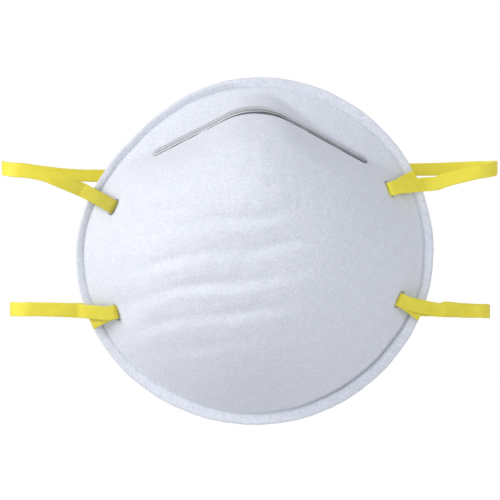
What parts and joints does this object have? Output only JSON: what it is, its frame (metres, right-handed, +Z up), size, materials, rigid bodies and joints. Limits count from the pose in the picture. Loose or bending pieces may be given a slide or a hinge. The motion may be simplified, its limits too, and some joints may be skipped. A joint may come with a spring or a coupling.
{
  "type": "disposable dust mask",
  "caption": "Moulded cup dust mask with a pressed rim, an aluminium nose clip, inner foam and flat elastic headbands that swing and stretch.",
  "frame": {"origin": "centre of the face opening, in the plane where the rim's back face meets the wearer's face", "axes": "+X to the right seen from the front, +Y towards the wearer's face, +Z up as worn"},
  "size_m": [0.1808, 0.0734, 0.1264],
  "materials": {
    "cover_nonwoven": "soft matt needle-punched non-woven, slightly fuzzy",
    "filter_web": "melt-blown web, matt",
    "shell_felt": "heat-formed polyester felt, matt",
    "liner_nonwoven": "smooth spun-bond, matt",
    "clip_aluminium": "rolled, satin",
    "foam": "open-cell foam, matt",
    "staple_steel": "drawn wire, satin",
    "yellow_elastic": "smooth extruded elastic, satin"
  },
  "bodies": {
    "root": {"outer_cover": "cover_nonwoven", "filter_web_outer": "filter_web", "filter_web_inner": "filter_web", "moulded_shell": "shell_felt", "inner_liner": "liner_nonwoven", "nose_clip": "clip_aluminium", "nose_foam": "foam", "staple_upper_left": "staple_steel", "staple_upper_right": "staple_steel", "staple_lower_left": "staple_steel", "staple_lower_right": "staple_steel", "strap_end_upper_left": "yellow_elastic", "strap_end_upper_right": "yellow_elastic", "strap_end_lower_left": "yellow_elastic", "strap_end_lower_right": "yellow_elastic"},
    "upper_headband": {"headband_side_upper_left": "yellow_elastic", "headband_side_upper_right": "yellow_elastic"},
    "upper_headband_middle": {"headband_middle_upper": "yellow_elastic"},
    "lower_headband": {"headband_side_lower_left": "yellow_elastic", "headband_side_lower_right": "yellow_elastic"},
    "lower_headband_middle": {"headband_middle_lower": "yellow_elastic"}
  },
  "joints": [
    {"name": "upper_headband_swing", "type": "hinge", "parent": "root", "child": "upper_headband", "pos_m": [0, -0.0019, 0.0231], "axis": [1, 0, 0], "range_deg": [-25, 50], "stiffness_Nm_per_rad": 0.006},
    {"name": "upper_headband_stretch", "type": "slide", "parent": "upper_headband", "child": "upper_headband_middle", "axis": [0, 1, 0], "range_m": [0, 0.06], "stiffness_N_per_m": 25, "deforming": ["headband_side_upper_left", "headband_side_upper_right"]},
    {"name": "lower_headband_swing", "type": "hinge", "parent": "root", "child": "lower_headband", "pos_m": [0, -0.0019, -0.0214], "axis": [1, 0, 0], "range_deg": [-50, 25], "stiffness_Nm_per_rad": 0.006},
    {"name": "lower_headband_stretch", "type": "slide", "parent": "lower_headband", "child": "lower_headband_middle", "axis": [0, 1, 0], "range_m": [0, 0.06], "stiffness_N_per_m": 25, "deforming": ["headband_side_lower_left", "headband_side_lower_right"]}
  ]
}
